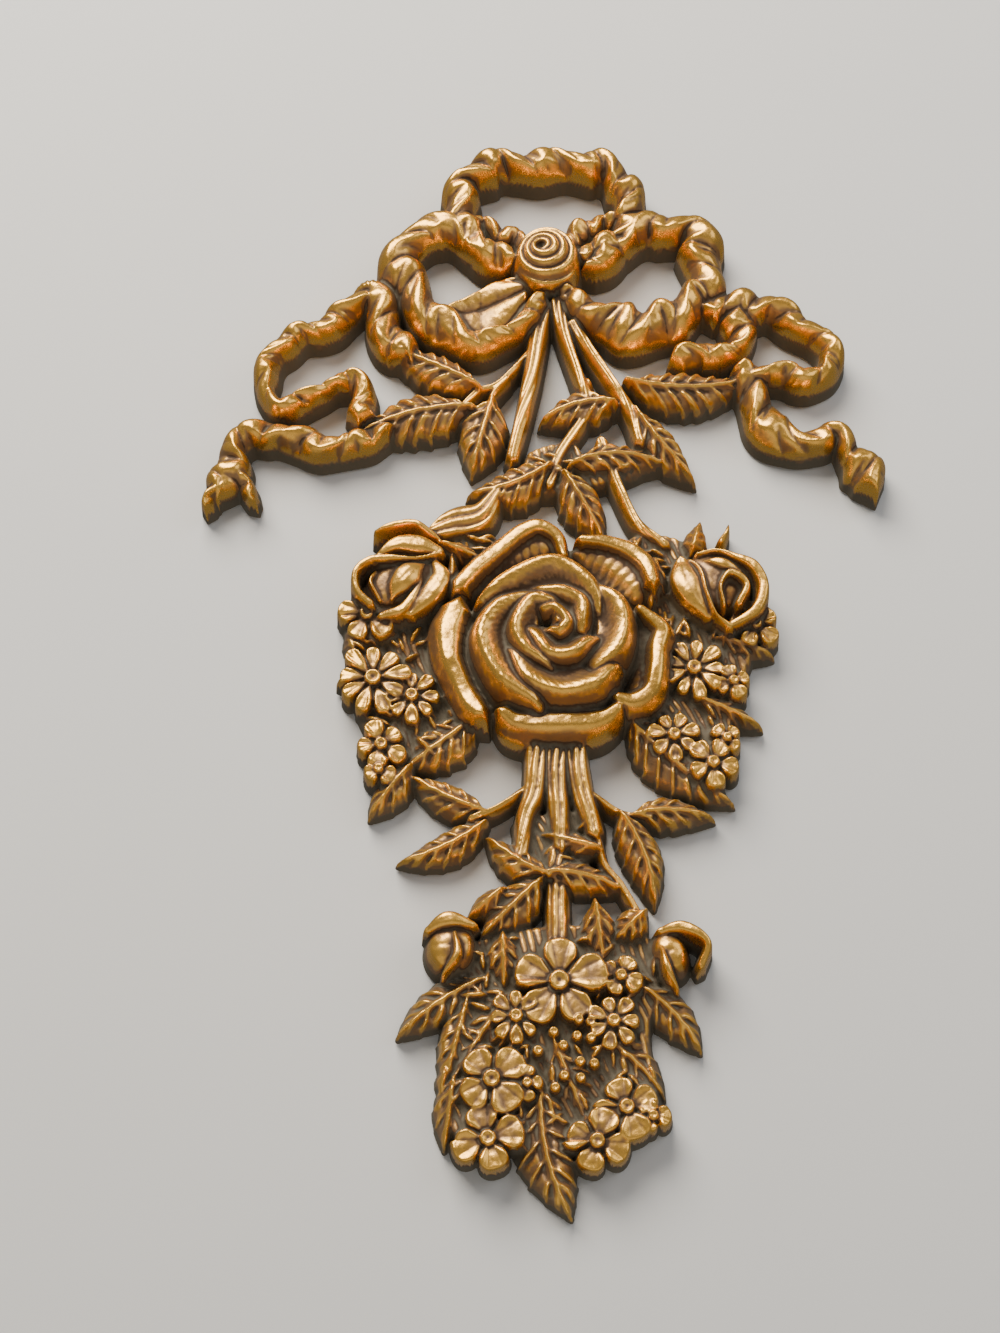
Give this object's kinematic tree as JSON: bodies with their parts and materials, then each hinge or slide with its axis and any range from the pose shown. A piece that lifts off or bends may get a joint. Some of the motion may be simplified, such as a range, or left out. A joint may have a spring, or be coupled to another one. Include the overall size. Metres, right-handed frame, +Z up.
{
  "type": "floral wall drop",
  "caption": "Gilded wall drop cast in one piece: a ribbon bow with trailing tails over a big open rose, rosebuds, leaves and bouquets, to hang flat on a wall.",
  "frame": {"origin": "on the flat back, behind the ribbon's knot, where the piece hangs on the wall", "axes": "+Z up, +X to the viewer's right, the carved front faces -Y and the flat back faces +Y on y = 0"},
  "size_m": [0.3353, 0.043, 0.5459],
  "materials": {
    "antique_gold": "cast resin with a burnished antique gold finish, brown and olive-grey patina in the recesses"
  },
  "bodies": {
    "root": {"floral_wall_drop": "antique_gold"}
  },
  "joints": []
}
